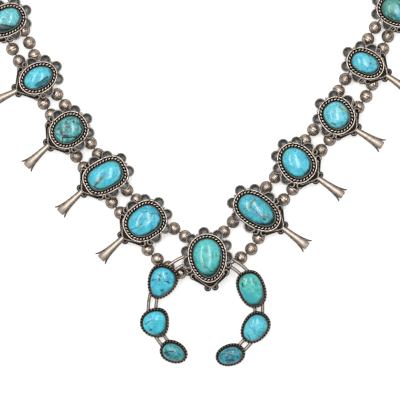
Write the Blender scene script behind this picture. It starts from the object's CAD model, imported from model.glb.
"""Squash blossom necklace of oxidised silver and turquoise, lying face up on a pale surface."""

import math
from typing import NamedTuple

import bpy
import numpy as np
from bpy.props import FloatProperty, FloatVectorProperty, PointerProperty
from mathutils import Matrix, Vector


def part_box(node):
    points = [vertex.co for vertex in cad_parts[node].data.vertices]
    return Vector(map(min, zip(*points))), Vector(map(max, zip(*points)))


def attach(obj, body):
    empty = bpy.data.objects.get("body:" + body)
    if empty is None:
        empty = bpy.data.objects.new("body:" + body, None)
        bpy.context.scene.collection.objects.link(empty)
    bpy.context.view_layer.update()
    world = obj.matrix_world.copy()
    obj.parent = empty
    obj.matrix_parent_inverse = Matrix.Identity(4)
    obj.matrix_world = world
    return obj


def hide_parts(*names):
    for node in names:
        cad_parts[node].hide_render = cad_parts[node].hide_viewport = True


bl_info = {
    "name": "Squash blossom necklace",
    "version": (1, 0, 0),
    "blender": (4, 5, 0),
    "location": "View3D > Sidebar > Necklace",
    "description": "Builds the silver, turquoise, beads and studio of a squash blossom necklace",
    "category": "Object",
}

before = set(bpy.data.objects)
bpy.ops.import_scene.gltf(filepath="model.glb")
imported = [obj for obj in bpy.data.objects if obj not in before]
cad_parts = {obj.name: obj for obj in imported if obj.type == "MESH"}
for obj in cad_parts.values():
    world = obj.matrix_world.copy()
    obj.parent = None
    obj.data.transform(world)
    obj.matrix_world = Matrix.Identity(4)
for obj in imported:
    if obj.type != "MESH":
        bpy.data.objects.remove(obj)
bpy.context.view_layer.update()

MM = 0.001
UP = np.array([0.0, 0.0, 1.0])

# Sizes that follow the solids, in millimetres.
BEAD_D = 7.0
PLATE_Z = 7.15
PLATE_T = 0.8
STONE_LENGTH, STONE_WIDTH = 20.0, 14.0
CRESCENT_STONE_LENGTH, CRESCENT_STONE_WIDTH = 16.5, 13.0
STONE_GAP, BEZEL_WALL, GROOVE = 0.1, 0.4, 0.3
STONE_SEAT, STONE_DOME = 2.2, 2.4
STONE_SHOULDER = STONE_SEAT * 0.9
ROPE_D, CRESCENT_ROPE_D, WIRE_D = 1.5, 1.2, 0.9
SINK = 0.3
CUP_D, CUP_H, CUP_OUT = 5.4, 1.1, 1.1
FLANK_D, FLANK_OUT = 7.4, 0.1
CURL_D, CURL_OUT, HEART_OUT = 3.4, 1.9, 3.1
BALL_D = 1.2
BLOSSOM_LENGTH, MOUTH_D = 17.0, 8.6
PETAL_T, PETAL_DEPTH = 0.5, 4.2
LOOP_WIRE_D, LOOP_GAP, THREAD_D, BORE_D, POST_D = 1.0, 0.3, 0.8, 2.2, 1.4
CRESCENT_R, CRESCENT_GAP, CRESCENT_END, HEAVY_D = 31.4, 4.2, 52.0, 1.8
CURL_STEP, FLANK_STEP = 19.0, 20.0
CENTER_OVER_WIRES = 0.15
CLASP_FROM_ZERO = 205.6

# Sizes of the finer work alone, in millimetres: how far outside its solid the plain ring stands, and where the
# grime round a stone begins and is whole, above its shoulder.
RING_MORE = 0.08
GRIME_TOP, GRIME_FULL = 1.35, 0.1
# Shells whose middles are closer than this are of one bead.
SAME_BEAD = 1.5

# The plan's zero lies off the frame's, which is under the middle of the whole necklace.
clasp_low, clasp_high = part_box("clasp")
PLAN_SHIFT = np.array([
    (clasp_low[0] + clasp_high[0]) / 2 / MM,
    (clasp_low[1] + clasp_high[1]) / 2 / MM - CLASP_FROM_ZERO,
])

ROPE_IN = STONE_GAP + BEZEL_WALL + GROOVE
RING_MID = ROPE_IN + ROPE_D + WIRE_D / 2


class Station(NamedTuple):
    """One plaque: its place, its stone's outline, and what lies round it. Angles are in degrees."""
    name: str
    place: tuple
    facing: float
    long: float
    wide: float
    turn: float
    egg: float
    square: float
    cups: int
    cup_mid: float
    cup_step: float
    curl: float
    blossom: float


STATIONS = [
    Station("l5", (-107.8, 98.5), 210, 0.86, 0.80, 205, 0.04, 0.06, 3, -3, 36, 55, 0),
    Station("l4", (-89.9, 67.0), 210.6, 0.79, 0.77, 208, 0.00, 0.00, 3, 2, 36, 56, -5),
    Station("l3", (-73.2, 38.3), 216.6, 0.79, 0.93, 215, 0.05, 0.05, 3, -4, 40, 50, 7),
    Station("l2", (-53.0, 13.2), 213.2, 0.95, 0.90, 208, 0.03, 0.14, 4, -3, 37, 44, 10),
    Station("l1", (-31.5, -11.7), 217.2, 0.91, 1.04, 215, 0.07, 0.08, 4, -2, 36, 48, 6),
    Station("center", (3.1, -31.9), 277.4, 1.04, 1.07, 277, 0.14, 0.00, 5, 1, 32, 45, 0),
    Station("r1", (30.3, -5.9), 326.2, 1.11, 0.90, 325, 0.06, 0.05, 4, 0, 33, 41, -3),
    Station("r2", (51.9, 20.5), 324.2, 0.86, 0.97, 130, 0.08, 0.04, 4, 0, 36, 47, 1),
    Station("r3", (74.0, 46.3), 323.6, 0.74, 0.93, 305, 0.02, 0.05, 3, 1, 46, 50, 5),
    Station("r4", (89.7, 74.9), 331.1, 0.75, 0.71, 335, 0.04, 0.05, 3, -4, 41, 54, -6),
    Station("r5", (106.7, 104.0), 332, 0.80, 0.80, 335, 0.04, 0.05, 3, 0, 38, 54, 0),
]


class CrescentStone(NamedTuple):
    """One stone of the crescent: its place round it, how far it lies outside the middle between the wires,
    and its outline."""
    angle: float
    out: float
    long: float
    wide: float
    turn: float
    egg: float
    square: float


CRESCENT_STONES = [
    CrescentStone(147.8, -0.94, 1.00, 0.98, 246, 0.26, 0.03),
    CrescentStone(194.8, -0.34, 0.77, 1.00, 178, 0.20, 0.06),
    CrescentStone(233.8, 0.18, 0.76, 0.69, 336, 0.10, 0.03),
    CrescentStone(23.8, -1.54, 1.10, 0.93, 291, 0.08, 0.07),
    CrescentStone(339.5, -0.16, 0.94, 0.88, 235, 0.10, 0.04),
    CrescentStone(298.3, -0.44, 0.81, 0.69, 196, 0.05, 0.02),
]
CRESCENT_MID = np.array([1.9, -59.4])
CRESCENT_TAIL = CRESCENT_MID[1] - CRESCENT_R * math.sin(math.radians(CRESCENT_END))
CRESCENT_OVER = -37.0
CRESCENT_TILT = math.atan(PLATE_Z / (CRESCENT_OVER - CRESCENT_TAIL))


class Stone(NamedTuple):
    """Looks of one stone: its colours, how much vein and speckle it has, and its own marks.
    A mark is (x0, y0, x1, y1, half width, tint), in millimetres from the stone's middle as seen from above."""
    tint: tuple
    light: tuple
    veins: float
    speckle: float
    marks: tuple


SOOT = (0.012, 0.014, 0.016)
BROWN = (0.06, 0.05, 0.035)
TAN = (0.16, 0.16, 0.09)
DEEP = (0.02, 0.16, 0.20)
OLIVE = (0.12, 0.17, 0.10)
NAVY = (0.01, 0.07, 0.18)
ASH = (0.05, 0.06, 0.055)
PALE = (0.22, 0.62, 0.76)
SKY = (0.055, 0.50, 0.74)
TEAL = (0.05, 0.42, 0.42)
SEA_GREEN = (0.09, 0.54, 0.45)

LOOKS = {
    "l5": Stone((0.1, 0.47, 0.51), (0.19, 0.67, 0.73), 0.15, 0.1, (
        (-7, -4.9, 4, -4.9, 2.1, ASH), (-7, -3.2, -2.5, -2.3, 0.45, SOOT), (-2.5, -2.3, 5.0, -3.7, 0.4, SOOT),
        (-5, -5.2, 4, -5.0, 0.3, SOOT), (-1.3, 0.6, -1.3, 0.6, 0.45, DEEP))),
    "l4": Stone((0.056, 0.47, 0.62), (0.14, 0.69, 0.84), 0.05, 0.05, (
        (4.5, -1.4, 0.4, -3.8, 1.1, DEEP), (5.1, 0.6, 5.0, 0.4, 0.5, SOOT), (5.0, 0.4, 2.5, -1.3, 0.25, SOOT),
        (2.5, -1.5, -0.4, -3.0, 0.2, SOOT), (-1.3, -4.2, -0.9, -3.8, 0.45, SOOT))),
    "l3": Stone((0.02, 0.24, 0.27), (0.19, 0.62, 0.61), 0.85, 0.6, (
        (-1.3, 4.5, -1.5, 1.9, 0.35, SOOT), (-1.5, 1.9, 0.3, 1.7, 0.35, SOOT), (2.8, 4.7, 3.0, 4.5, 0.5, SOOT),
        (-3.8, -1.1, -2.6, -3.0, 0.7, SOOT), (-2.6, -3.0, -0.6, -3.4, 0.6, SOOT),
        (-3.4, -3.8, -3.4, -6.8, 0.3, BROWN), (-3.4, -4.2, 4.5, -3.7, 0.3, SOOT), (5.3, 3.8, 5.2, -3.6, 0.2, DEEP),
        (-5.6, 1.0, -5.2, 0.7, 0.5, BROWN))),
    "l2": Stone((0.037, 0.41, 0.56), (0.083, 0.6, 0.74), 0.08, 0.05, (
        (-1.7, -0.7, -5.2, -4.4, 0.75, TAN), (-2.5, -1.6, -6.0, -5.6, 0.3, BROWN),
        (-3.2, -6.0, -1.8, -6.2, 0.7, SEA_GREEN), (-6.5, -5.8, -3.6, -7.0, 0.25, SOOT),
        (3.2, 2.6, 4.6, 4.8, 0.3, PALE), (4.6, 4.8, 7.0, 4.2, 0.3, PALE), (7.0, 4.2, 7.3, 1.0, 0.3, PALE),
        (7.3, 1.0, 5.4, -2.2, 0.3, PALE))),
    "l1": Stone((0.036, 0.39, 0.56), (0.088, 0.61, 0.75), 0.12, 0.05, (
        (-7.6, -4.5, -4.0, -3.4, 0.12, SOOT), (-4.0, -3.4, -1.4, -1.4, 0.2, SOOT),
        (-2.4, 5.3, 1.2, 5.4, 0.12, BROWN), (1.2, 5.4, 3.4, 4.2, 0.22, BROWN), (3.4, 4.2, 6.8, 4.3, 0.12, BROWN),
        (4.2, 5.0, 3.8, 2.2, 0.25, TAN), (0.2, 1.4, 4.4, -0.6, 0.15, DEEP), (-3.6, -4.0, -1.0, -4.2, 0.3, TEAL),
        (4.4, 3.2, 3.6, 0.6, 0.3, PALE), (3.6, 0.6, 0.4, -1.6, 0.3, PALE), (0.4, -1.6, -2.4, -2.6, 0.2, PALE),
        (6.3, 3.0, 6.4, -1.4, 0.3, PALE), (6.4, -1.4, 4.6, -4.4, 0.3, PALE))),
    "center": Stone((0.04, 0.38, 0.36), (0.099, 0.57, 0.57), 0.12, 0.12, (
        (-2.6, -4.0, -0.3, -4.8, 0.14, BROWN), (-0.3, -4.8, 1.3, -7.0, 0.2, BROWN),
        (1.3, -7.0, 2.6, -7.6, 0.22, SOOT), (-2.2, -4.6, -0.8, -5.6, 0.35, TAN),
        (-3.9, 1.6, -3.9, -2.0, 0.25, (0.2, 0.58, 0.56)), (-3.9, -2.0, -2.4, -4.6, 0.25, (0.2, 0.58, 0.56)),
        (3.7, 3.6, 3.9, -1.0, 0.25, (0.2, 0.58, 0.54)))),
    "r1": Stone((0.039, 0.37, 0.48), (0.097, 0.58, 0.7), 0.25, 0.1, (
        (-1.2, 6.1, -3.3, 4.1, 0.5, OLIVE), (-3.3, 4.1, -3.9, 1.8, 0.45, OLIVE), (-3.9, 1.8, -7.4, 1.3, 0.3, OLIVE),
        (-3.6, 2.3, -0.6, -0.5, 0.25, DEEP), (-0.6, -0.5, 0.7, -2.4, 0.2, BROWN), (1.8, 4.8, 3.6, 3.6, 0.3, TEAL),
        (4.6, 2.4, 6.4, 0.8, 0.3, TEAL), (1.4, -1.9, 2.2, -2.6, 0.35, OLIVE), (2.8, -3.0, 3.8, -3.1, 0.5, TAN),
        (3.4, -4.4, 4.4, -4.9, 0.45, BROWN), (5.2, -3.2, 6.2, -3.9, 0.45, TAN),
        (5.9, -1.7, 6.4, -2.3, 0.3, OLIVE))),
    "r2": Stone((0.053, 0.45, 0.61), (0.11, 0.64, 0.81), 0.03, 0.03, (
        (-1.2, 6.2, -0.6, 6.3, 0.2, SOOT), (-3.2, -6.0, -2.6, -6.3, 0.35, OLIVE),
        (-6.2, 4.6, -4.2, 6.2, 0.5, SEA_GREEN))),
    "r3": Stone((0.079, 0.47, 0.6), (0.21, 0.72, 0.84), 0.2, 0.55, (
        (1.9, 4.2, 4.2, 2.7, 0.8, (0.26, 0.44, 0.28)), (1.4, 4.7, 1.7, 4.5, 0.28, SOOT),
        (-3.0, -4.2, -0.8, -5.0, 0.45, DEEP), (2.4, 3.6, 2.9, 3.3, 0.2, BROWN))),
    "r4": Stone((0.06, 0.45, 0.6), (0.14, 0.66, 0.81), 0.12, 0.05, (
        (1.5, 4.2, 3.0, 2.3, 0.14, BROWN), (3.0, 2.3, 2.6, -0.8, 0.14, BROWN), (2.6, -0.8, 1.0, -3.0, 0.12, BROWN),
        (2.3, 0.3, 2.6, 0.1, 0.4, TAN), (3.1, 0.0, 3.3, -0.4, 0.25, TAN))),
    "r5": Stone((0.036, 0.21, 0.18), (0.125, 0.45, 0.4), 0.35, 0.25, (
        (-2.3, -2.6, 0.5, -4.0, 0.45, DEEP), (-3.0, -1.2, -2.2, -3.2, 0.35, OLIVE),
        (0.8, -3.0, 3.4, -3.4, 0.7, SKY), (0.2, 2.6, 1.4, -0.6, 0.5, PALE),
        (-3.6, 2.2, -2.6, 0.6, 0.4, SEA_GREEN))),
    "crescent_1": Stone((0.035, 0.41, 0.58), (0.087, 0.62, 0.78), 0.1, 0.08, (
        (-1.7, 4.2, -0.5, 3.3, 0.45, BROWN), (-1.7, 1.9, -1.0, 1.0, 0.45, SOOT),
        (-5.4, 1.1, -3.2, 1.4, 0.25, BROWN), (1.9, 0.6, 3.2, 0.3, 0.3, SOOT), (3.2, 0.3, 4.1, -0.3, 0.4, SOOT),
        (2.6, 5.0, 3.0, 4.8, 0.35, SOOT), (-0.1, -4.5, 0.3, -4.3, 0.45, SOOT), (-6.0, -3.0, -5.4, -5.4, 0.4, OLIVE),
        (3.0, 1.4, 3.6, 0.8, 0.15, SOOT))),
    "crescent_2": Stone((0.04, 0.45, 0.61), (0.086, 0.64, 0.79), 0.05, 0.03, (
        (-1.8, 3.4, -1.7, 1.5, 0.15, SOOT), (-1.7, 1.5, -4.9, -0.9, 0.2, SOOT),
        (-4.4, -0.6, -2.2, -3.8, 0.09, DEEP), (-2.6, -4.2, -1.6, -3.9, 0.25, SOOT))),
    "crescent_3": Stone((0.026, 0.26, 0.3), (0.096, 0.48, 0.53), 0.85, 0.6, (
        (-5.3, -0.5, -2.6, 0.4, 0.3, SOOT), (-2.6, 0.4, 0.0, 0.4, 0.3, SOOT), (-3.8, -0.9, -2.8, -1.6, 0.5, NAVY),
        (0.0, -4.5, 2.7, -4.2, 0.4, OLIVE), (2.3, -0.4, 3.4, -1.5, 0.35, NAVY),
        (-1.0, -2.0, 1.0, -2.8, 0.25, DEEP))),
    "crescent_4": Stone((0.039, 0.38, 0.33), (0.11, 0.58, 0.56), 0.15, 0.15, (
        (-5.3, 3.2, -4.8, 1.6, 0.45, SOOT), (-5.5, 5.0, -5.0, 7.2, 0.35, OLIVE),
        (-3.4, -3.5, 0.0, -6.0, 2.2, (0.05, 0.42, 0.50)), (-4.2, 5.6, -3.0, 5.2, 0.3, (0.3, 0.66, 0.66)),
        (-3.0, 2.8, -2.6, 2.2, 0.2, DEEP))),
    "crescent_5": Stone((0.056, 0.44, 0.56), (0.14, 0.64, 0.75), 0.06, 0.05, (
        (-0.4, -3.0, 3.0, -5.3, 0.14, BROWN), (-1.3, 0.4, -2.3, 3.8, 0.1, DEEP),
        (-4.0, -4.0, -2.6, -6.4, 0.25, DEEP))),
    "crescent_6": Stone((0.012, 0.17, 0.27), (0.05, 0.37, 0.43), 0.8, 0.5, (
        (-4.6, 0.4, -1.5, 0.9, 0.4, NAVY), (-2.3, -2.8, 1.9, -2.8, 0.45, NAVY), (1.6, 2.2, 2.6, 1.6, 0.4, OLIVE),
        (-1.0, 0.6, 1.6, -0.6, 0.3, ASH), (3.6, -0.4, 4.2, -1.6, 0.3, NAVY))),
}


# ---------------------------------------------------------------- the plan


def around(count):
    """Even angles round a circle, in radians."""
    return np.linspace(0, 2 * math.pi, count, endpoint=False)


def at_height(points, z):
    """Plan points, all at one height."""
    return np.column_stack([points, np.full(len(points), z)])


def turned(point, degrees):
    """A plan point turned about zero."""
    c, s = math.cos(math.radians(degrees)), math.sin(math.radians(degrees))
    return np.array([point[0] * c - point[1] * s, point[0] * s + point[1] * c])


def toward(degrees, distance=1.0):
    return turned((distance, 0.0), degrees)


def egg_outline(a, b, egg, square, count):
    """Egg outline with half-length a and half-width b. Its narrow end points along +X."""
    t = around(count)
    c, s = np.cos(t), np.sin(t)
    power = 1 - square * 2
    x = a * np.sign(c) * np.abs(c) ** power
    y = b * np.sign(s) * np.abs(s) ** power * (1 - egg * c)
    return np.stack([x, y], 1)


class Seat(NamedTuple):
    """Where a stone lies in the plan, with its outline's half sizes."""
    place: np.ndarray
    a: float
    b: float
    turn: float
    egg: float
    square: float

    def holds(self, points, out):
        """Whether each point lies inside the outline, drawn some distance outside the stone."""
        c, s = math.cos(math.radians(-self.turn)), math.sin(math.radians(-self.turn))
        x, y = points[:, 0] - self.place[0], points[:, 1] - self.place[1]
        x, y = (x * c - y * s) / (self.a + out), (x * s + y * c) / (self.b + out)
        return np.hypot(x, y / (1 - self.egg * x)) < 1

    def outline(self, out=0.0, share=1.0, count=72):
        points = egg_outline(self.a * share + out, self.b * share + out, self.egg, self.square, count)
        return np.array([self.place + turned(p, self.turn) for p in points])


def station_seat(s):
    return Seat(np.array(s.place), STONE_LENGTH * s.long / 2, STONE_WIDTH * s.wide / 2, s.turn, s.egg, s.square)


def crescent_seat(c):
    place = CRESCENT_MID + toward(c.angle, CRESCENT_R - CRESCENT_GAP / 2 + c.out)
    return Seat(place, CRESCENT_STONE_LENGTH * c.long / 2, CRESCENT_STONE_WIDTH * c.wide / 2,
                c.turn, c.egg, c.square)


def ring_reach(s, direction):
    """Distance from a station's middle to its plain wire ring."""
    seat = station_seat(s)
    a, b = seat.a + RING_MID, seat.b + RING_MID
    t = math.radians(direction - s.turn)
    return a * b / math.hypot(b * math.cos(t), a * math.sin(t)) * (1 - s.egg * math.cos(t) * math.sin(t) ** 2)


def round_place(s, angle, out):
    """A place round a station, by its angle from the facing and its distance outside the plain wire ring."""
    return np.array(s.place) + toward(s.facing + angle, ring_reach(s, s.facing + angle) + out)


def cup_angle(s, i):
    return 180 + s.cup_mid + (i - (s.cups - 1) / 2) * s.cup_step


def flank_place(s, side):
    return round_place(s, side * (s.curl + CURL_STEP + FLANK_STEP), FLANK_OUT)


def heart_place(s, side):
    return round_place(s, 0, HEART_OUT) + turned((0, side * CURL_D * 0.6), s.facing)


def slope_z(y):
    return (y - CRESCENT_TAIL) * math.tan(CRESCENT_TILT)


CENTER_Z = (slope_z(CRESCENT_MID[1] + CRESCENT_R + HEAVY_D / 2)
            + HEAVY_D / math.cos(CRESCENT_TILT) + CENTER_OVER_WIRES)


def plaque_z(s):
    """Height of a plaque's back. The centre one lies higher, on the crescent's wires."""
    return CENTER_Z if s.name == "center" else PLATE_Z


def on_slope(points):
    """Puts what is made flat, with its back at zero, on the crescent's slope."""
    c, s = math.cos(CRESCENT_TILT), math.sin(CRESCENT_TILT)
    y = points[:, 1] - CRESCENT_TAIL
    z = points[:, 2]
    return np.stack([points[:, 0], CRESCENT_TAIL + y * c - z * s, y * s + z * c], 1)


# ---------------------------------------------------------------- mesh making

# How many tones a twisted wire would pass from its crest to half way down.
TONE_STEPS = 6.5


class Bench:
    """Collects the parts of one soldered piece, in millimetres of the plan."""

    def __init__(self):
        self.points, self.faces, self.finishes = [], [], []
        self.count = 0

    def add(self, points, faces, finish):
        self.points.append(np.asarray(points, float))
        self.faces.extend([[self.count + i for i in f] for f in faces])
        self.finishes.extend(finish if isinstance(finish, list) else [finish] * len(faces))
        self.count += len(points)

    def rows(self, rows, finish, closed_rows=False, cap_first=False, cap_last=False):
        """Skin over a list of rings that have the same number of points."""
        n, count = len(rows[0]), len(rows)
        finishes = finish if isinstance(finish, list) else [finish] * count
        faces, used = [], []
        for j in range(count if closed_rows else count - 1):
            k = (j + 1) % count
            for i in range(n):
                faces.append([j * n + i, j * n + (i + 1) % n, k * n + (i + 1) % n, k * n + i])
                used.append(finishes[j])
        if cap_first:
            faces.append(list(range(n - 1, -1, -1)))
            used.append(finishes[0])
        if cap_last:
            faces.append([(count - 1) * n + i for i in range(n)])
            used.append(finishes[-1])
        self.add(np.concatenate(rows), faces, used)

    def wire(self, path, radius, finish, closed=False, sides=8):
        """Round wire along a path that never runs straight up. An open wire has rounded ends."""
        path = np.asarray(path, float)
        ahead = np.roll(path, -1, 0) - np.roll(path, 1, 0)
        radii = np.full(len(path), float(radius))
        if not closed:
            ahead[0], ahead[-1] = path[1] - path[0], path[-1] - path[-2]
            radii[[0, -1]] *= 0.55
        ahead /= np.linalg.norm(ahead, axis=1)[:, None]
        across = np.cross(ahead, UP)
        across /= np.linalg.norm(across, axis=1)[:, None]
        over = np.cross(across, ahead)
        rows = []
        for p, a, o, r in zip(path, across, over, radii):
            t = around(sides)[:, None]
            rows.append(p + r * (a * np.cos(t) + o * np.sin(t)))
        self.rows(rows, finish, closed_rows=closed, cap_first=not closed, cap_last=not closed)

    def egg(self, seat, levels, finish, z=0.0, closed=False, count=72, cap=False):
        """Skin of egg outlines, each level being (distance outside the stone, height)."""
        rows = [at_height(seat.outline(out, count=count), z + h) for out, h in levels]
        self.rows(rows, finish, closed_rows=closed, cap_last=cap)

    def slab(self, outline, z, height, finish, edge=0.12):
        """Flat sheet with a softened upper edge."""
        outline = np.asarray(outline, float)
        ahead = np.roll(outline, -1, 0) - np.roll(outline, 1, 0)
        inward = np.stack([-ahead[:, 1], ahead[:, 0]], 1) / np.linalg.norm(ahead, axis=1)[:, None]
        rows = [at_height(outline + inward * shift, z + h) for shift, h in ((0, 0), (0, height - edge), (edge, height))]
        self.rows(rows, finish, cap_first=True, cap_last=True)

    def lathe(self, middle, profile, finish, count=28, axis=UP, side=np.array([1.0, 0.0, 0.0])):
        """Turned shape about an axis, from (radius, height) pairs."""
        other = np.cross(axis, side)
        t = around(count)[:, None]
        rows = [middle + axis * h + max(r, 1e-4) * (side * np.cos(t) + other * np.sin(t)) for r, h in profile]
        self.rows(rows, finish)

    def ring(self, middle, axis, radius, wire_r, finish, count=28, sides=8):
        """Closed wire ring about any level axis."""
        axis = np.asarray(axis, float) / np.linalg.norm(axis)
        flat = np.cross(UP, axis)
        rows = []
        for t in around(count):
            out = flat * math.cos(t) + UP * math.sin(t)
            k = around(sides)[:, None]
            rows.append(middle + out * radius + wire_r * (out * np.cos(k) + axis * np.sin(k)))
        self.rows(rows, finish, closed_rows=True)

    def rope(self, outline, z, thickness, lay, tones, per_turn=18, sides=6):
        """Two wires twisted round each other along a closed plan outline. The tones go from the rubbed crest
        of each twist, in equal steps, to the hollow."""
        steps = np.linalg.norm(np.roll(outline, -1, 0) - outline, axis=1)
        run = np.concatenate([[0], np.cumsum(steps)])
        turns = round(run[-1] / lay)
        at = np.linspace(0, run[-1], turns * per_turn, endpoint=False)
        loop = np.concatenate([outline, outline[:1]])
        path = np.stack([np.interp(at, run, loop[:, 0]), np.interp(at, run, loop[:, 1])], 1)
        ahead = np.roll(path, -1, 0) - np.roll(path, 1, 0)
        outward = np.stack([ahead[:, 1], -ahead[:, 0]], 1) / np.linalg.norm(ahead, axis=1)[:, None]
        strand = thickness * 0.25
        for half in (0, math.pi):
            twist = at / run[-1] * turns * 2 * math.pi + half
            reach = thickness / 2 - strand
            flat = path + outward * (reach * np.cos(twist))[:, None]
            height = np.sin(twist + math.pi / per_turn)
            looks = [tones[min(len(tones) - 1, int((1 - h) * TONE_STEPS))] for h in height]
            self.wire(np.column_stack([flat, z + reach * np.sin(twist)]), strand, looks, closed=True, sides=sides)

    def piece(self, name, finishes, nodes, crease=40.0, sloped=False):
        """Makes the object, in metres, at the place of the solids that it stands for."""
        points = np.concatenate(self.points)
        if sloped:
            points = on_slope(points)
        points[:, :2] += PLAN_SHIFT
        mesh = bpy.data.meshes.new(name)
        mesh.from_pydata((points * MM).tolist(), [], self.faces)
        names = list(finishes)
        for finish in names:
            mesh.materials.append(finishes[finish])
        mesh.polygons.foreach_set("material_index", [names.index(f) for f in self.finishes])
        mesh.shade_smooth()
        mesh.set_sharp_from_angle(angle=math.radians(crease))
        mesh.validate()
        made = bpy.data.objects.new(name, mesh)
        bpy.context.scene.collection.objects.link(made)
        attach(made, "root")
        if nodes:
            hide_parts(*nodes)
        return made


def arc(middle, radius, start, sweep, step=14.0):
    """Plan points on an arc, angles in degrees."""
    count = max(2, int(abs(sweep) / step) + 1)
    return [np.asarray(middle) + toward(start + sweep * i / (count - 1), radius) for i in range(count)]


def smooth_path(points, count):
    """Even points along a rounded run through the given ones."""
    points = np.asarray(points, float)
    for _ in range(2):
        cut = np.empty((2 * len(points), 2))
        cut[0], cut[-1] = points[0], points[-1]
        cut[1:-1:2] = points[:-1] * 0.75 + points[1:] * 0.25
        cut[2::2] = points[:-1] * 0.25 + points[1:] * 0.75
        points = cut
    run = np.concatenate([[0], np.cumsum(np.linalg.norm(np.diff(points, axis=0), axis=1))])
    at = np.linspace(0, run[-1], count)
    return np.stack([np.interp(at, run, points[:, 0]), np.interp(at, run, points[:, 1])], 1)


# ---------------------------------------------------------------- finishes


class Wiring:
    """A node tree under construction, with short names for adding and joining its nodes."""

    def __init__(self, tree):
        self.tree = tree

    def node(self, kind, inputs=None, **settings):
        made = self.tree.nodes.new(kind)
        for name, value in settings.items():
            setattr(made, name, value)
        for name, value in (inputs or {}).items():
            if isinstance(value, bpy.types.NodeSocket):
                self.tree.links.new(value, made.inputs[name])
            else:
                made.inputs[name].default_value = value
        return made

    def noise(self, vector, scale, detail=3.0, roughness=0.55):
        return self.node("ShaderNodeTexNoise", {
            "Vector": vector, "Scale": scale, "Detail": detail, "Roughness": roughness}).outputs["Fac"]

    def fade(self, value, low, high, to_low=0.0, to_high=1.0, soft=True):
        return self.node("ShaderNodeMapRange", {
            "Value": value, "From Min": low, "From Max": high, "To Min": to_low, "To Max": to_high},
            interpolation_type="SMOOTHSTEP" if soft else "LINEAR").outputs["Result"]

    def math(self, operation, first, second=0.0):
        return self.node("ShaderNodeMath", {0: first, 1: second}, operation=operation).outputs[0]

    def vector(self, operation, first, second):
        """Vector arithmetic. SCALE takes a number second, and DOT_PRODUCT gives one."""
        made = self.node("ShaderNodeVectorMath", {0: first, 3 if operation == "SCALE" else 1: second},
                         operation=operation)
        return made.outputs["Value" if operation == "DOT_PRODUCT" else "Vector"]

    def blend(self, share, first, second):
        """Mixes two colours. The numbers are the colour inputs and output among the Mix node's sockets."""
        first, second = (c if isinstance(c, bpy.types.NodeSocket) else (*c, 1.0) for c in (first, second))
        return self.node("ShaderNodeMix", {0: share, 6: first, 7: second}, data_type="RGBA").outputs[2]


class Recipe(Wiring):
    """A material under construction."""

    def __init__(self, name, **gloss):
        self.material = bpy.data.materials.new(name)
        self.material.use_nodes = True
        super().__init__(self.material.node_tree)
        self.shader = self.tree.nodes["Principled BSDF"]
        for socket, value in gloss.items():
            self.shader.inputs[socket.replace("_", " ").title().replace("Ior", "IOR")].default_value = value

    def place_mm(self):
        """Place in the row frame, in millimetres."""
        return self.vector("SCALE", self.node("ShaderNodeTexCoord").outputs["Object"], 1 / MM)

    def facing_up(self):
        """How much the surface faces up, from -1 to 1."""
        normal = self.node("ShaderNodeNewGeometry").outputs["Normal"]
        return self.node("ShaderNodeSeparateXYZ", {0: normal}).outputs["Z"]

    def surface(self, color=None, roughness=None, height=None, depth=0.02):
        """Joins the finished colour, roughness and height to the shader. The depth is in millimetres."""
        if height is not None:
            height = self.node("ShaderNodeBump", {
                "Height": height, "Strength": 1.0, "Distance": depth * MM}).outputs[0]
        for socket, value in (("Base Color", color), ("Roughness", roughness), ("Normal", height)):
            if value is not None:
                self.tree.links.new(value, self.shader.inputs[socket])
        return self.material


def shaded(color, share):
    """A colour times one share, or times a share for each of its parts."""
    shares = share if isinstance(share, tuple) else (share, share, share)
    return tuple(c * k for c, k in zip(color, shares))


class Worn(NamedTuple):
    """Oxidised silver: bright where it faces up and is rubbed, dark in the hollows and on the sides.
    Its metal is the silver's or the beads' colour times a share, and its oxide a share of the tarnish.
    It goes from dark to rubbed as it faces up between two slopes."""
    metal: str
    share: object
    oxide: float
    worn_from: float
    worn_to: float
    roughness: float
    scratch: float
    mottle: float = 1.0

    def make(self, name, colors):
        bright = shaded(getattr(colors, self.metal), self.share)
        recipe = Recipe(name, specular_ior_level=0.15)
        place = recipe.place_mm()
        blotch = recipe.noise(place, 0.55, 4.0, 0.6)
        fine = recipe.noise(place, 3.2, 3.0, 0.6)
        rubbed = recipe.facing_up()
        for grain, low, high, most in ((blotch, 0.25, 0.75, 0.22), (fine, 0.2, 0.8, 0.12)):
            most *= self.mottle
            rubbed = recipe.math("ADD", rubbed, recipe.fade(grain, low, high, -most, most, soft=False))
        worn = recipe.fade(rubbed, self.worn_from, self.worn_to)
        warm = recipe.blend(blotch, bright, shaded(bright, (1.0, 0.93, 0.86)))
        color = recipe.blend(worn, shaded(colors.tarnish, self.oxide), warm)
        streaked = recipe.node("ShaderNodeMapping", {
            "Vector": place, "Rotation": (0.3, 0.2, 0.9), "Scale": (0.35, 5.0, 1.5)})
        scratches = recipe.noise(streaked.outputs[0], 1.6, 4.0, 0.7)
        height = recipe.math("ADD", recipe.math("MULTIPLY", scratches, self.scratch),
                             recipe.math("MULTIPLY", fine, 0.4))
        rough = recipe.math("ADD", recipe.fade(worn, 0.0, 1.0, 0.68, self.roughness, soft=False),
                            recipe.fade(scratches, 0.3, 0.7, -0.05, 0.07, soft=False))
        recipe.tree.links.new(recipe.fade(worn, 0.0, 0.35), recipe.shader.inputs["Metallic"])
        return recipe.surface(color, rough, height, 0.035)


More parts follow.
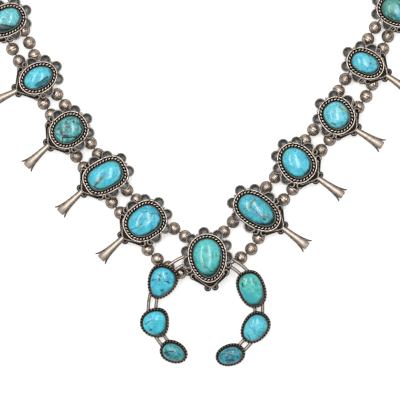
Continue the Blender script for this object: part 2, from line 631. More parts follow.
class Dark(NamedTuple):
    """Silver left black by its oxide, with faint cloudy lighter places where it has been touched."""
    shade: tuple
    light: tuple
    roughness: float

    def make(self, name, _):
        recipe = Recipe(name, metallic=0.85)
        place = recipe.place_mm()
        cloud = recipe.noise(place, 0.8, 4.0, 0.62)
        grain = recipe.noise(place, 6.0, 2.0, 0.6)
        level = recipe.math("MULTIPLY", recipe.fade(recipe.facing_up(), 0.75, 1.0), recipe.fade(cloud, 0.2, 0.75))
        color = recipe.blend(level, self.shade, self.light)
        rough = recipe.fade(cloud, 0.3, 0.7, self.roughness + 0.12, self.roughness - 0.06, soft=False)
        return recipe.surface(color, rough, grain, 0.02)


# The finishes of the silver pieces.
FINISHES = {
    "silver_wire": Worn("silver", 0.96, 0.5, 0.55, 0.95, 0.3, 0.3),
    "border_wire": Worn("silver", 0.38, 0.5, 0.6, 1.05, 0.32, 0.3),
    "heavy_wire": Worn("silver", 0.56, 0.5, 0.5, 1.05, 0.34, 0.5),
    "rope_wire": Worn("silver", 0.58, 0.5, 0.62, 1.0, 0.3, 0.2),
    "rope_mid": Worn("silver", 0.42, 0.5, 0.6, 1.0, 0.32, 0.2),
    "rope_low": Worn("silver", 0.1, 0.5, 0.6, 1.0, 0.36, 0.2),
    "blossom_silver": Worn("bead", (0.71, 0.72, 0.73), 1.0, 0.35, 1.05, 0.42, 1.3),
    "bezel_silver": Worn("silver", 0.12, 0.5, 0.6, 1.05, 0.45, 0.3),
    "bezel_edge": Worn("silver", (0.13, 0.2, 0.195), 0.5, 0.4, 1.0, 0.4, 0.3),
    "curl_wire": Worn("silver", 0.56, 0.5, 0.3, 0.9, 0.32, 0.2),
    "bead_line": Dark((0.03, 0.02, 0.015), (0.09, 0.065, 0.05), 0.5),
    "cup_edge": Worn("silver", 0.32, 1.0, 0.3, 1.0, 0.36, 0.3),
    "strung_silver": Worn("bead", 0.78, 2.4, 0.15, 1.0, 0.25, 0.35, 0.45),
    "black_plate": Dark((0.004, 0.003, 0.0025), (0.018, 0.013, 0.011), 0.5),
    "dark_cup": Dark((0.008, 0.0075, 0.007), (0.17, 0.168, 0.162), 0.34),
    "flank_dish": Dark((0.008, 0.008, 0.008), (0.075, 0.075, 0.075), 0.36),
    "hole_black": Dark((0.006, 0.005, 0.005), (0.015, 0.012, 0.011), 0.7),
}


def silver_finishes(colors):
    """The finishes of the silver pieces by name, made once."""
    return {name: bpy.data.materials.get(name) or look.make(name, colors) for name, look in FINISHES.items()}


def streak_group():
    """A soft dark streak from a place, along a direction, in stone coordinates."""
    group = bpy.data.node_groups.new("Matrix streak", "ShaderNodeTree")
    for name, kind in (("Vector", "Vector"), ("Middle", "Vector"), ("Turn", "Vector"),
                       ("Half length", "Float"), ("Half width", "Float")):
        group.interface.new_socket(name, in_out="INPUT", socket_type="NodeSocket" + kind)
    group.interface.new_socket("Mask", in_out="OUTPUT", socket_type="NodeSocketFloat")
    wiring = Wiring(group)
    given = wiring.node("NodeGroupInput").outputs
    away = wiring.node("ShaderNodeMapping", {
        "Vector": given["Vector"], "Location": given["Middle"], "Rotation": given["Turn"]}, vector_type="TEXTURE")
    split = wiring.node("ShaderNodeSeparateXYZ", {0: away.outputs[0]}).outputs
    past = wiring.math("SUBTRACT", wiring.math("ABSOLUTE", split["X"]), given["Half length"])
    past = wiring.math("MAXIMUM", past, 0.0)
    off = wiring.math("ABSOLUTE", split["Y"])
    squares = wiring.math("ADD", wiring.math("POWER", past, 2.0), wiring.math("POWER", off, 2.0))
    widths = wiring.math("DIVIDE", wiring.math("SQRT", squares), given["Half width"])
    wiring.node("NodeGroupOutput", {"Mask": wiring.fade(widths, 2.1, 0.1)})
    return group


def turquoise(name, look, seat, base, seed, colors, sloped=False):
    """Polished turquoise with mottled blue, a web of veins, speckle, the stone's own marks, and a grimy edge."""
    recipe = Recipe(name, roughness=0.2, specular_ior_level=0.35, coat_weight=0.35, coat_roughness=0.12)
    middle = np.array([[*seat.place, base]])
    middle = tuple((on_slope(middle) if sloped else middle)[0] + np.array([*PLAN_SHIFT, 0.0]))
    tilt = CRESCENT_TILT if sloped else 0.0
    local = recipe.vector("SUBTRACT", recipe.place_mm(), middle)
    level = recipe.vector("DOT_PRODUCT", local, (0.0, -math.sin(tilt), math.cos(tilt)))
    shifted = recipe.vector("ADD", local, (seed * 13.7, seed * 5.3, seed * 2.1))
    waver = recipe.node("ShaderNodeTexNoise", {"Vector": shifted, "Scale": 0.9, "Detail": 3.0}).outputs["Color"]
    waver = recipe.vector("SCALE", recipe.vector("SUBTRACT", waver, (0.5, 0.5, 0.5)), 0.8)

    cloud = recipe.noise(shifted, 0.28, 4.0, 0.6)
    fleck = recipe.noise(shifted, 1.1, 3.0, 0.6)
    greenish = tuple(min(1.0, c) for c in shaded(look.tint, (1.15, 1.02, 0.78)))
    pale = tuple(min(1.0, c * 1.25 + 0.06) for c in look.light)
    color = recipe.blend(recipe.fade(cloud, 0.36, 0.64), look.tint, look.light)
    for grain, low, high, most, tint in (
            (recipe.noise(shifted, 0.42, 2.0, 0.5), 0.55, 0.78, 0.75, greenish),
            (fleck, 0.54, 0.72, 0.7, pale),
            (fleck, 0.46, 0.3, 0.7, shaded(look.tint, (0.5, 0.62, 0.66))),
            (recipe.noise(shifted, 1.5, 4.0, 0.7), 0.60, 0.72, look.speckle, tuple(colors.deep_matrix))):
        color = recipe.blend(recipe.fade(grain, low, high, 0.0, most), color, tint)
    cells = recipe.node("ShaderNodeTexVoronoi", {
        "Vector": recipe.vector("ADD", shifted, waver), "Scale": 0.3}, feature="DISTANCE_TO_EDGE")
    here = recipe.fade(recipe.noise(shifted, 0.35, 2.0, 0.5), 0.42, 0.6, 0.0, look.veins)
    web = recipe.math("MULTIPLY", recipe.fade(cells.outputs["Distance"], 0.075, 0.015), here)
    color = recipe.blend(web, color, tuple(colors.matrix))

    streak = bpy.data.node_groups.get("Matrix streak") or streak_group()
    warped = recipe.vector("ADD", local, waver)
    for x0, y0, x1, y1, half_width, tint in look.marks:
        mark = recipe.node("ShaderNodeGroup", {
            "Vector": warped, "Middle": ((x0 + x1) / 2, (y0 + y1) / 2, 0.0),
            "Turn": (0.0, 0.0, math.atan2(y1 - y0, x1 - x0)),
            "Half length": math.hypot(x1 - x0, y1 - y0) / 2,
            "Half width": half_width * colors.matrix_width}, node_tree=streak)
        color = recipe.blend(recipe.math("MULTIPLY", mark.outputs["Mask"], 0.95), color, tint)
    away = recipe.vector("DOT_PRODUCT", local, (-0.08, 0.1, 0.0))
    waved = recipe.math("ADD", recipe.math("ADD", level, away), recipe.fade(cloud, 0.3, 0.7, -0.25, 0.25, soft=False))
    edge = recipe.fade(waved, STONE_SHOULDER + GRIME_TOP, STONE_SHOULDER + GRIME_FULL)
    color = recipe.blend(edge, color, tuple(colors.grime))
    rough = recipe.math("ADD", recipe.fade(cloud, 0.3, 0.7, 0.12, 0.2, soft=False), recipe.math("MULTIPLY", web, 0.2))
    return recipe.surface(color, rough, recipe.math("MULTIPLY", web, -0.6), 0.03)


def thread_finish(colors):
    """Twisted fibre stringing."""
    recipe = Recipe("stringing_fibre", roughness=0.85)
    twist = recipe.node("ShaderNodeTexWave", {
        "Vector": recipe.place_mm(), "Scale": 1.6, "Distortion": 2.0, "Detail": 2.0}).outputs["Fac"]
    color = recipe.blend(twist, tuple(colors.thread), shaded(colors.thread, 0.45))
    return recipe.surface(color, None, twist, 0.06)


def floor_finish(colors):
    """Smooth pale paper."""
    recipe = Recipe("pale_floor", roughness=0.9, emission_color=(1.0, 1.0, 0.99, 1.0), emission_strength=0.45)
    fibre = recipe.noise(recipe.place_mm(), 0.05, 3.0)
    tint = tuple(colors.floor)
    return recipe.surface(recipe.blend(fibre, tint, tuple(min(1.0, c * 1.01) for c in tint)))


# ---------------------------------------------------------------- silver work


def add_bezel(bench, seat, z):
    """Thin wall round a stone, rolled in over its edge."""
    outer = STONE_GAP + BEZEL_WALL
    levels = [(outer, 0), (outer, 0.85), (outer - 0.06, 0.96), (outer - 0.15, 1.0),
              (STONE_GAP - 0.02, 0.98), (STONE_GAP - 0.04, 0.9), (STONE_GAP, 0.6)]
    wall, edge = ["bezel_silver"] * 2, ["bezel_edge"] * 2
    bench.egg(seat, [(out, STONE_SEAT * share) for out, share in levels], wall + edge + wall, z)


def add_cup(bench, seat, place, diameter, z, dish, sizes):
    """Shallow dark cup with a fine bright edge, cut off at the plain ring."""
    r, wall, edge = diameter / 2, 0.35, 0.1
    dip = CUP_H * 0.6
    profile = [(r, 0), (r, CUP_H - edge), (r - edge, CUP_H)]
    profile += [((r - wall) * k, CUP_H - dip * (1 - k * k)) for k in (1.0, 0.9, 0.75, 0.58, 0.4, 0.2, 0.0)]
    bench.lathe(np.array([*place, z]), profile, ["black_plate"] * 2 + [dish] * 8)
    cup = bench.points[-1]
    inside = seat.holds(cup, RING_MID)
    cup[inside, 2] = np.minimum(cup[inside, 2], z + SINK - 0.05)
    rim = np.array([[*p, z + CUP_H - 0.05] for p in arc(place, r - 0.16, 0, 356, 4)])
    outside = ~seat.holds(rim, RING_MID)
    first = int(np.argmax(outside & ~np.roll(outside, 1)))
    rim = np.roll(rim, -first, 0)[:outside.sum()]
    bench.wire(rim[::3], sizes.rim_wire / MM / 2, "cup_edge", sides=6)


# The arcs of the scrolled wires, in degrees: where each starts, from the direction away from the stone, and its
# sweep.
FLANK_START, FLANK_SWEEP = 92, 118
CURL_START, CURL_SWEEP = 105, 305
HEART_START, HEART_SWEEP = 150, 215


def add_curls(bench, s, side, z, sizes):
    """The two wires of one flank: the scroll round its long cup, and the border wire to the heart."""
    r = sizes.curl_wire / MM / 2
    turn_r = CURL_D / 2 - r
    over = CUP_H - SINK

    second_angle = side * (s.curl + CURL_STEP)
    second = round_place(s, second_angle, CURL_OUT)
    away = s.facing + second_angle
    flank_away = s.facing + side * (s.curl + CURL_STEP + FLANK_STEP)
    scroll = arc(flank_place(s, side), FLANK_D / 2 - r * 0.6, flank_away + side * FLANK_START, -side * FLANK_SWEEP)
    scroll += arc(second, turn_r, away + side * CURL_START, side * CURL_SWEEP)
    bench.wire(at_height(smooth_path(scroll, 50), z + over + r * 0.4), r, "curl_wire")

    first_angle = side * s.curl
    first = round_place(s, first_angle, CURL_OUT)
    away = s.facing + first_angle
    border = arc(heart_place(s, -side), turn_r - 0.25, s.facing - side * HEART_START, side * HEART_SWEEP)
    border += [round_place(s, 0, HEART_OUT - 0.2), round_place(s, side * 6, HEART_OUT - 0.3)]
    border += arc(first, turn_r, away - side * CURL_START, -side * CURL_SWEEP)
    looks = ["border_wire"] * 10 + ["curl_wire"] * 15 + ["border_wire"] * 13 + ["curl_wire"] * 22
    bench.wire(at_height(smooth_path(border, len(looks)), z + r * 0.8 + 0.05 * side), r, looks)

    wide = turn_r + r * 0.6
    for middle, height in ((first, 0.3), (second, over), (heart_place(s, side), 0.3)):
        profile = [(wide, 0), (wide, height - 0.05), (wide - 0.1, height), (0, height)]
        bench.lathe(np.array([*middle, z]), profile, "hole_black", 20)


def add_plate(bench, s, z):
    """Back plate, in overlapping sheets whose tops lie a hair apart."""
    bench.slab(station_seat(s).outline(RING_MID + WIRE_D / 2 + 0.25), z, PLATE_T, "black_plate")
    tip = CURL_OUT + CURL_D / 2
    corners = [round_place(s, s.curl + CURL_STEP, tip), np.array(s.place), round_place(s, -s.curl - CURL_STEP, tip),
               round_place(s, -s.curl, tip), heart_place(s, -1), heart_place(s, 1), round_place(s, s.curl, tip)]
    bench.slab(corners, z, PLATE_T - 0.01, "black_plate", 0.02)
    curl_r, cup_r = CURL_D / 2 + 0.25, CUP_D / 2 + 0.4
    sheets = []
    for side in (-1, 1):
        sheets += [(round_place(s, side * (s.curl + step), CURL_OUT), curl_r, 15, 0.02) for step in (0, CURL_STEP)]
        sheets += [(heart_place(s, side), curl_r, 15, 0.03), (flank_place(s, side), FLANK_D / 2, 10, 0.04)]
    sheets += [(round_place(s, cup_angle(s, i), CUP_OUT), cup_r, 10, 0.05) for i in range(s.cups)]
    for middle, radius, step, lower in sheets:
        bench.slab(arc(middle, radius, 0, 360 - step, step), z, PLATE_T - lower, "black_plate")


# The blossom's radius at shares of its length, and how deep its edge is cut at distances from a notch, as a share
# of the mouth's radius.
FLARE_AT = (0.0, 0.2, 0.45, 0.62, 0.75, 0.86, 0.94, 1.0)
FLARE_R = (1.5, 1.65, 2.0, 2.32, 2.72, 3.2, 3.75, 4.3)
NOTCH_AT = (0, 0.07, 0.12, 0.24, 0.5, 9.0)
NOTCH_CUT = (1, 0.55, 0.25, 0.08, 0.0, 0.0)
THROAT, PETAL_SHARE = 0.62, 0.7


def add_blossom(bench, s, z):
    """Hollow trumpet with four round-ended petals that open outwards."""
    start = np.array([*round_place(s, 0, HEART_OUT), z])
    axis = np.array([*toward(s.facing + s.blossom), 0.0])
    side = np.cross(UP, axis)
    along = np.array(FLARE_AT) * BLOSSOM_LENGTH
    count = 64
    t = around(count)
    from_notch = np.abs(t % (math.pi / 2) - math.pi / 4)
    ends = np.full(count, BLOSSOM_LENGTH)
    for _ in range(4):
        across = np.interp(ends, along, FLARE_R) * np.sin(from_notch) / (MOUTH_D / 2)
        ends = BLOSSOM_LENGTH - np.interp(across, NOTCH_AT, NOTCH_CUT) * PETAL_DEPTH * PETAL_SHARE
    throat = BLOSSOM_LENGTH * THROAT

    def row(x, thinner=0.0):
        """One ring of the sheet, x being a distance along the axis for each point round it."""
        r = np.interp(x, along, FLARE_R) - thinner
        return start + axis * x[:, None] + UP * (r * np.cos(t))[:, None] + side * (r * np.sin(t))[:, None]

    open_part = [throat + (ends - throat) * k for k in np.linspace(0.12, 1, 10)]
    rows = [row(np.full(count, x)) for x in np.linspace(0, throat, 9)] + [row(x) for x in open_part]
    rows += [row(x, PETAL_T * 0.8) for x in reversed(open_part)] + [row(np.full(count, throat), PETAL_T)]
    finish = ["blossom_silver"] * 27 + ["black_plate"] * 3
    bench.rows([r[::-1] for r in rows], finish, cap_first=True, cap_last=True)
    collar = [(1.62, -0.3), (1.82, -0.1), (1.82, 0.2), (1.6, 0.4)]
    bench.lathe(start + axis * 0.5, collar, "silver_wire", 24, axis, side)


# Behind each plaque: the strands' stops, as place and heading of the string.
BACK_LOOPS = {
    "l5": ((-103.9, 104.3, -60), (-109.7, 93.8, -62)), "l4": ((-87.4, 67.7, -58), (-94.9, 65.5, -60)),
    "l3": ((-68.3, 41.7, -56), (-75.3, 34.1, -58)), "l2": ((-49.8, 14.7, -52), (-57.9, 8.1, -52)),
    "l1": ((-26.1, -8.0, -38), (-37.4, -17.1, -52)),
    "center": ((2.2, -26.1, 5), (0.6, -42.4, 2), (11.0, -38.2, 30)),
    "r1": ((26.2, -2.4, 46), (36.0, -9.6, 52)), "r2": ((48.4, 22.7, 51), (57.6, 16.7, 54)),
    "r3": ((68.8, 49.0, 56), (78.9, 43.2, 50)), "r4": ((85.0, 77.3, 60), (96.7, 73.5, 71)),
    "r5": ((101.8, 105.6, 60), (106.4, 98.8, 66)),
}


def add_plain_ring(bench, seat, z, sizes):
    """Plain wire ring outside the twisted one."""
    r = sizes.wire / MM / 2
    section = [(RING_MID + RING_MORE + r * math.cos(t), r * math.sin(t)) for t in around(10)]
    bench.egg(seat, section, "silver_wire", z + r * 0.95, closed=True, count=96)


def add_ball(bench, place, z):
    """Small soldered ball between two cups."""
    turns = np.linspace(-math.pi / 2, math.pi / 2, 9)
    profile = [(BALL_D / 2 * math.cos(t), BALL_D / 2 * math.sin(t)) for t in turns]
    bench.lathe(np.array([*place, z]), profile, "silver_wire", 14)


def add_back_loops(bench, s, z):
    """Loops that the strings run through. Behind a plaque that lies high, they stand on posts."""
    low = BEAD_D / 2 - THREAD_D / 2 - LOOP_GAP - LOOP_WIRE_D / 2
    high = PLATE_Z + PLATE_T / 2 - LOOP_WIRE_D / 2
    rise = z + PLATE_T / 2 - high
    for x, y, heading in BACK_LOOPS[s.name]:
        bench.ring(np.array([x, y, (low + high) / 2]), [*toward(heading), 0.0], (high - low) / 2,
                   LOOP_WIRE_D / 2, "silver_wire")
        if z > PLATE_Z:
            profile = [(0, 0), (POST_D / 2, 0), (POST_D / 2, rise), (0, rise)]
            bench.lathe(np.array([x, y, high]), profile, "silver_wire", 14)


def add_hang_ring(bench):
    """Ring behind the centre plaque, round the crescent's outer wire."""
    y = CRESCENT_MID[1] + CRESCENT_R
    wire_z = slope_z(y) + HEAVY_D / 2 / math.cos(CRESCENT_TILT)
    bench.ring(np.array([CRESCENT_MID[0], y, wire_z]), [1.0, 0.0, 0.0],
               HEAVY_D / 2 + LOOP_GAP + LOOP_WIRE_D / 2, LOOP_WIRE_D / 2, "silver_wire")


def build_setting(s, z, finishes, sizes):
    """One plaque with its bezel, wires, cups, curls and squash blossom."""
    bench = Bench()
    seat = station_seat(s)
    top = z + PLATE_T
    add_plate(bench, s, z)
    add_bezel(bench, seat, top - 0.05)
    bench.rope(seat.outline(ROPE_IN + ROPE_D / 2, count=360), top - SINK + ROPE_D / 2, ROPE_D,
               sizes.rope_lay / MM, ("rope_wire", "rope_wire", "rope_low", "black_plate"))
    add_plain_ring(bench, seat, top, sizes)
    cup_d = CUP_D + sizes.cup_more / MM
    for i in range(s.cups):
        add_cup(bench, seat, round_place(s, cup_angle(s, i), CUP_OUT), cup_d, top - SINK, "dark_cup", sizes)
    for i in range(s.cups - 1):
        add_ball(bench, round_place(s, cup_angle(s, i + 0.5), (WIRE_D + BALL_D) / 2), top)
    for side in (-1, 1):
        add_cup(bench, seat, flank_place(s, side), FLANK_D, top - SINK, "flank_dish", sizes)
        add_curls(bench, s, side, top, sizes)
    if s.name != "center":
        add_blossom(bench, s, z + PLATE_T / 2)
    add_back_loops(bench, s, z)
    if s.name == "center":
        add_hang_ring(bench)
    return bench.piece("plaque_" + s.name, finishes, ["setting_" + s.name])


def build_crescent(finishes, sizes):
    """The naja: two heavy wires side by side, and six rope-edged bezels on them."""
    bench = Bench()
    for radius in (CRESCENT_R, CRESCENT_R - CRESCENT_GAP):
        path = arc(CRESCENT_MID, radius, -CRESCENT_END, 180 + 2 * CRESCENT_END, 2.5)
        bench.wire(at_height(path, HEAVY_D / 2), HEAVY_D / 2, "heavy_wire", sides=14)
    base = HEAVY_D - SINK
    top = base + PLATE_T
    rim = STONE_GAP + BEZEL_WALL
    levels = [(rim, 0), (rim, 0.85), (rim - 0.05, 0.96), (rim - 0.16, 1.0), (STONE_GAP - 0.03, 0.97), (STONE_GAP, 0.6)]
    for c in CRESCENT_STONES:
        seat = crescent_seat(c)
        bench.slab(seat.outline(rim + CRESCENT_ROPE_D * 0.9), base, PLATE_T, "black_plate")
        bench.egg(seat, [(out, STONE_SEAT * share) for out, share in levels], "bezel_silver", top)
        bench.rope(seat.outline(rim + CRESCENT_ROPE_D / 2, count=300), top + CRESCENT_ROPE_D / 2 - 0.1, CRESCENT_ROPE_D,
                   sizes.crescent_lay / MM, ("rope_mid", "rope_low", "rope_low", "black_plate", "black_plate"))
    return bench.piece("crescent_work", finishes, ["crescent"], sloped=True)


# ---------------------------------------------------------------- stones and beads


def build_stone(name, node, seat, back, seed, colors, sloped=False):
    """Smooth polished cabochon on its egg outline, just above the back of its setting."""
    z = back + PLATE_T + STONE_GAP
    finish = turquoise("turquoise_" + name, LOOKS[name], seat, z, seed, colors, sloped)
    bench = Bench()
    dome = STONE_DOME + STONE_SEAT - STONE_SHOULDER
    levels = [(0.985, 0.0), (1.0, 0.3), (1.0, STONE_SHOULDER * 0.8)]
    levels += [(math.cos(v) ** 0.8, STONE_SHOULDER + dome * math.sin(v))
               for v in np.linspace(0, math.pi / 2 * 0.97, 16)]
    rows = [at_height(seat.outline(share=share), z + h) for share, h in levels]
    bench.rows(rows, "stone", cap_first=True, cap_last=True)
    return bench.piece("cabochon_" + name, {"stone": finish}, [node], crease=60.0, sloped=sloped)


def bead_places(node):
    """Middle of each bead of a solid node, in millimetres of the row frame."""
    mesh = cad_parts[node].data
    points = np.array([v.co for v in mesh.vertices]) / MM
    parent = list(range(len(points)))

    def root(i):
        while parent[i] != i:
            parent[i] = parent[parent[i]]
            i = parent[i]
        return i

    for edge in mesh.edges:
        a, b = root(edge.vertices[0]), root(edge.vertices[1])
        if a != b:
            parent[a] = b
    shells = {}
    for i in range(len(points)):
        shells.setdefault(root(i), []).append(i)
    beads = []
    for members in shells.values():
        shell = points[members]
        middle = (shell.min(0) + shell.max(0)) / 2
        for first, parts in beads:
            if np.linalg.norm(first - middle) < SAME_BEAD:
                parts.append(shell)
                break
        else:
            beads.append((middle, [shell]))
    every = [np.concatenate(parts) for _, parts in beads]
    return np.array([(bead.min(0) + bead.max(0)) / 2 for bead in every])


def bead_profile(lines, seam):
    """Half section of a bead from hole to hole, with lines turned round it at some heights, and each face's look."""
    hole, r = BORE_D / 2, BEAD_D / 2
    edges = [hole / r] + [math.sin(a) for a in np.linspace(math.asin(hole / r), math.pi / 2, 11)][1:-1]
    half = [(r * e, math.sqrt(1 - e * e) * r, "bead") for e in edges]
    for at in lines:
        half = [q for q in half if abs(q[1] - at) > 0.2]
        half += [(math.sqrt(r * r - (at + d) ** 2) - cut, at + d, look)
                 for d, cut, look in ((0.16, 0.0, "line"), (0.05, 0.06, "line"), (-0.06, 0.0, "bead"))]
    half = sorted((q for q in half if q[1] > seam * 2.5), key=lambda q: -q[1])
    half += [(r - 0.003, seam * 2.2, "line"), (r - seam, seam * 0.6, "line")]
    high = [(hole * 0.95, half[0][1] - 1.2, "line"), (hole, half[0][1] - 0.1, "line")] + half
    low = [(q, -h) for q, h, _ in reversed(high)]
    looks = [look for _, _, look in high]
    return [(q, h) for q, h, _ in high] + low, looks[:-1] + ["line"] + looks[-2::-1] + ["line"]


def build_beads(name, node, finishes, sizes):
    """Round beads of two soldered halves, each with a fine seam round its middle and a neat drilled hole."""
    bench = Bench()
    middles = bead_places(node)
    shaped = [bead_profile(lines, sizes.bead_seam / MM) for lines in ((), (0.75,), (0.6, 1.2))]
    chance = np.random.default_rng(len(node) * 31 + len(middles))
    for k, middle in enumerate(middles):
        away = np.linalg.norm(middles - middle, axis=1)
        away[k] = np.inf
        nearest = middles[int(np.argmin(away))]
        axis = (nearest - middle) / np.linalg.norm(nearest - middle)
        side = np.cross(UP, axis)
        profile, looks = shaped[chance.integers(len(shaped))]
        bench.lathe(middle - np.array([*PLAN_SHIFT, 0.0]), profile, looks, 30, -axis, side)
    used = {"bead": finishes["strung_silver"], "line": finishes["bead_line"]}
    return bench.piece(name, used, [node], crease=75.0)


def build_clasp(finishes):
    """Plain closed silver bar at the back of the neck, with both strings running into it."""
    low, high = (np.array(c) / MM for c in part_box("clasp"))
    middle = (low + high) / 2 - np.array([*PLAN_SHIFT, 0.0])
    half = (high - low) / 2
    r = half[2]
    reach = half[1] - r
    bench = Bench()
    section = [(math.sin(t) * r, math.cos(t) * r) for t in np.linspace(0, math.pi, 15)]
    outline = [(reach + y, z) for y, z in section] + [(-reach - y, z) for y, z in reversed(section)]
    ends = ((-1, 0.82), (-0.97, 0.94), (-0.9, 1.0), (0.0, 1.0), (0.9, 1.0), (0.97, 0.94), (1, 0.82))
    rows = [np.array([[middle[0] + x * half[0], middle[1] + y * grow, middle[2] + z * grow] for y, z in outline])
            for x, grow in ends]
    bench.rows(rows, "silver_wire", cap_first=True, cap_last=True)
    axis, side = np.array([1.0, 0.0, 0.0]), np.array([0.0, 1.0, 0.0])
    eyelet = [(0.9, -0.25), (1.15, -0.25), (1.15, 0.0), (1.0, 0.05), (0.9, 0.0)]
    for y in (-reach, reach):
        for end in (-1, 1):
            bench.lathe(middle + np.array([end * half[0], y, 0.0]), eyelet, "black_plate", 20, axis * end, side)
    return bench.piece("clasp_bar", finishes, ["clasp"])


# ---------------------------------------------------------------- the add-on


class NecklaceSizes(bpy.types.PropertyGroup):
    wire: FloatProperty(name="Wire", description="Thickness of the plain wire rings", default=0.00064,
                        min=0.0005, max=0.0011, unit="LENGTH", precision=5)
    curl_wire: FloatProperty(name="Curl wire", description="Thickness of the curled and border wires", default=0.00074,
                             min=0.0004, max=0.0011, unit="LENGTH", precision=5)
    cup_more: FloatProperty(name="Cup width", description="How much wider a cup is than its solid", default=0.0006,
                            min=0.0, max=0.001, unit="LENGTH", precision=5)
    rim_wire: FloatProperty(name="Cup edge", description="Thickness of the bright edge of a cup", default=0.0003,
                            min=0.0001, max=0.0006, unit="LENGTH", precision=5)
    rope_lay: FloatProperty(name="Rope lay", description="Length of one full twist of the plaques' twisted wire",
                            default=0.0036, min=0.0015, max=0.006, unit="LENGTH", precision=5)
    crescent_lay: FloatProperty(name="Crescent rope lay",
                                description="Length of one full twist of the crescent's twisted wire",
                                default=0.0034, min=0.001, max=0.006, unit="LENGTH", precision=5)
    bead_seam: FloatProperty(name="Bead seam", description="Width of the soldered seam round a bead", default=0.00009,
                             min=0.00003, max=0.0004, unit="LENGTH", precision=5)


class NecklaceColors(bpy.types.PropertyGroup):
    silver: FloatVectorProperty(name="Silver", description="Rubbed silver of the wires", subtype="COLOR",
                                default=(0.86, 0.76, 0.68), min=0, max=1)
    bead: FloatVectorProperty(name="Bead silver", description="Warm silver of the beads and blossoms", subtype="COLOR",
                              default=(0.84, 0.72, 0.62), min=0, max=1)
    tarnish: FloatVectorProperty(name="Tarnish", description="Oxide on the sides and in the hollows", subtype="COLOR",
                                 default=(0.04, 0.026, 0.018), min=0, max=1)
    matrix: FloatVectorProperty(name="Matrix", description="Web of veins in the stones", subtype="COLOR",
                                default=(0.03, 0.028, 0.025), min=0, max=1)
    deep_matrix: FloatVectorProperty(name="Speckle", description="Speckle in the stones", subtype="COLOR",
                                     default=(0.02, 0.16, 0.18), min=0, max=1)
    matrix_width: FloatProperty(name="Matrix width", description="Width of the stones' own marks, as a share",
                                default=1.0, min=0.2, max=3)
    grime: FloatVectorProperty(name="Grime", description="Dirt round the edge of a stone", subtype="COLOR",
                               default=(0.008, 0.024, 0.022), min=0, max=1)
    thread: FloatVectorProperty(name="Stringing", description="Stringing between the beads", subtype="COLOR",
                                default=(0.22, 0.19, 0.16), min=0, max=1)
    floor: FloatVectorProperty(name="Floor", description="Pale surface under the necklace", subtype="COLOR",
                               default=(0.93, 0.925, 0.91), min=0, max=1)


class NecklaceLight(bpy.types.PropertyGroup):
    strip_power: FloatProperty(name="Strip lights", description="Power of each narrow lamp overhead", default=3.6,
                               min=0, max=200, unit="POWER")
    sky: FloatProperty(name="Studio light", description="Strength of the soft light from all round", default=1.0,
                       min=0, max=5)
    camera_height: FloatProperty(name="Camera height", description="Height of the camera above the surface",
                                 default=4.0, min=1, max=10, unit="LENGTH")


# The studio, in metres: the floor's half side, the lamps' names and places, and the width that the camera sees.
FLOOR_REACH = 6.0
STRIPS = (("strip_left", -0.42, 0.1), ("strip_middle", 0.12, 0.15), ("strip_right", 1.5, 0.2))
STRIP_HEIGHT, STRIP_WIDTH, STRIP_LENGTH = 1.5, 0.1, 0.9
VIEW_WIDTH = 0.22
SENSOR_MM = 36.0
# The camera stands this far left of the plan's zero, in millimetres.
CAMERA_LEFT = 1.1
# The sky's brightest side, and its grey from the dark side to there.
BRIGHT_SIDE = (-0.22, 0.3, 0.93)
SKY_GREYS = ((0.0, 0.25), (0.35, 0.32), (0.65, 0.48), (0.82, 0.9), (0.93, 1.45))


class NECKLACE_OT_stage(bpy.types.Operator):
    """Lay the pale surface, hang the lights and set the camera straight above the necklace"""
    bl_idname = "necklace.stage"
    bl_label = "Stage"

    def execute(self, context):
        scene, light = context.scene, context.scene.necklace_light
        mesh = bpy.data.meshes.new("floor")
        corners = [(x * FLOOR_REACH, y * FLOOR_REACH, 0) for x, y in ((-1, -1), (1, -1), (1, 1), (-1, 1))]
        mesh.from_pydata(corners, [], [(0, 1, 2, 3)])
        mesh.materials.append(floor_finish(scene.necklace_colors))
        floor = bpy.data.objects.new("floor", mesh)
        scene.collection.objects.link(floor)

        scene.world = bpy.data.worlds.new("studio")
        scene.world.use_nodes = True
        sky = Wiring(scene.world.node_tree)
        lean = sky.vector("DOT_PRODUCT", sky.node("ShaderNodeTexCoord").outputs["Generated"], BRIGHT_SIDE)
        ramp = sky.node("ShaderNodeValToRGB", {0: lean})
        stops = ramp.color_ramp.elements
        while len(stops) < len(SKY_GREYS):
            stops.new(0.5)
        for stop, (position, grey) in zip(stops, SKY_GREYS):
            stop.position = position
            stop.color = (grey, grey, grey * 0.99, 1.0)
        background = sky.tree.nodes["Background"]
        sky.tree.links.new(ramp.outputs["Color"], background.inputs["Color"])
        background.inputs["Strength"].default_value = light.sky

        for name, x, y in STRIPS:
            lamp = bpy.data.lights.new(name, "AREA")
            lamp.shape, lamp.size, lamp.size_y = "RECTANGLE", STRIP_WIDTH, STRIP_LENGTH
            lamp.energy = light.strip_power
            holder = bpy.data.objects.new(name, lamp)
            holder.location = (x, y, STRIP_HEIGHT)
            holder.rotation_euler = (0.0, math.atan2(x, STRIP_HEIGHT), 0.0)
            scene.collection.objects.link(holder)

        lens = bpy.data.cameras.new("camera")
        lens.sensor_width = SENSOR_MM
        lens.lens = SENSOR_MM * light.camera_height / VIEW_WIDTH
        lens.clip_end = 50.0
        camera = bpy.data.objects.new("camera", lens)
        camera.location = ((PLAN_SHIFT[0] - CAMERA_LEFT) * MM, PLAN_SHIFT[1] * MM, light.camera_height)
        scene.collection.objects.link(camera)
        scene.camera = camera
        scene.view_settings.view_transform = "Standard"
        return {"FINISHED"}


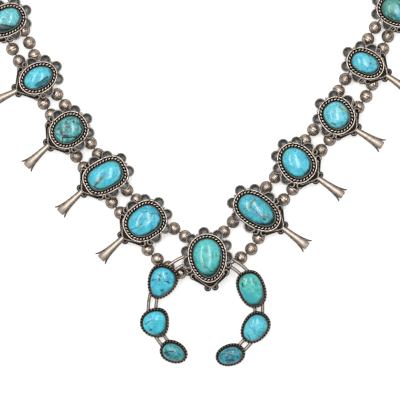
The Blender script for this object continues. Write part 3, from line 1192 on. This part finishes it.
class NECKLACE_OT_plaques(bpy.types.Operator):
    """Build the silver plaques with their wires, cups, curls and squash blossoms"""
    bl_idname = "necklace.plaques"
    bl_label = "Plaques"

    def execute(self, context):
        finishes = silver_finishes(context.scene.necklace_colors)
        for s in STATIONS:
            build_setting(s, plaque_z(s), finishes, context.scene.necklace_sizes)
        return {"FINISHED"}


class NECKLACE_OT_crescent(bpy.types.Operator):
    """Build the crescent's heavy wires and rope-edged bezels"""
    bl_idname = "necklace.crescent"
    bl_label = "Crescent"

    def execute(self, context):
        build_crescent(silver_finishes(context.scene.necklace_colors), context.scene.necklace_sizes)
        return {"FINISHED"}


class NECKLACE_OT_stones(bpy.types.Operator):
    """Cut and set the turquoise stones"""
    bl_idname = "necklace.stones"
    bl_label = "Turquoise"

    def execute(self, context):
        colors = context.scene.necklace_colors
        for i, s in enumerate(STATIONS, 1):
            build_stone(s.name, "stone_" + s.name, station_seat(s), plaque_z(s), i, colors)
        for i, c in enumerate(CRESCENT_STONES, 1):
            build_stone(f"crescent_{i}", f"crescent_stone_{i}", crescent_seat(c), HEAVY_D - SINK, 20 + i, colors,
                        sloped=True)
        return {"FINISHED"}


class NECKLACE_OT_beads(bpy.types.Operator):
    """String the silver beads"""
    bl_idname = "necklace.beads"
    bl_label = "Beads"

    def execute(self, context):
        finishes = silver_finishes(context.scene.necklace_colors)
        for strand in ("inner", "outer"):
            for hand in ("left", "right"):
                build_beads(f"{strand}_string_{hand}", f"{strand}_beads_{hand}", finishes,
                            context.scene.necklace_sizes)
        return {"FINISHED"}


class NECKLACE_OT_stringing(bpy.types.Operator):
    """Finish the stringing and the clasp"""
    bl_idname = "necklace.stringing"
    bl_label = "Stringing and clasp"

    def execute(self, context):
        finish = thread_finish(context.scene.necklace_colors)
        for node in ("inner_thread", "outer_thread"):
            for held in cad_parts[node].material_slots:
                held.material = finish
        build_clasp(silver_finishes(context.scene.necklace_colors))
        return {"FINISHED"}


OPERATORS = (NECKLACE_OT_stage, NECKLACE_OT_plaques, NECKLACE_OT_crescent, NECKLACE_OT_stones, NECKLACE_OT_beads,
             NECKLACE_OT_stringing)


class NECKLACE_PT_panel(bpy.types.Panel):
    bl_idname = "NECKLACE_PT_panel"
    bl_label = "Squash blossom necklace"
    bl_space_type = "VIEW_3D"
    bl_region_type = "UI"
    bl_category = "Necklace"

    def draw(self, context):
        layout = self.layout
        for group in (context.scene.necklace_sizes, context.scene.necklace_colors, context.scene.necklace_light):
            box = layout.box()
            for name in group.bl_rna.properties.keys():
                if name not in ("rna_type", "name"):
                    box.prop(group, name)
        for operator in OPERATORS:
            layout.operator(operator.bl_idname)


CLASSES = (NecklaceSizes, NecklaceColors, NecklaceLight, *OPERATORS, NECKLACE_PT_panel)


def register():
    for made in CLASSES:
        bpy.utils.register_class(made)
    bpy.types.Scene.necklace_sizes = PointerProperty(type=NecklaceSizes)
    bpy.types.Scene.necklace_colors = PointerProperty(type=NecklaceColors)
    bpy.types.Scene.necklace_light = PointerProperty(type=NecklaceLight)


def unregister():
    del bpy.types.Scene.necklace_light
    del bpy.types.Scene.necklace_colors
    del bpy.types.Scene.necklace_sizes
    for made in reversed(CLASSES):
        bpy.utils.unregister_class(made)


def main():
    register()
    bpy.ops.necklace.stage()
    bpy.ops.necklace.plaques()
    bpy.ops.necklace.crescent()
    bpy.ops.necklace.stones()
    bpy.ops.necklace.beads()
    bpy.ops.necklace.stringing()


if __name__ == "__main__":
    main()
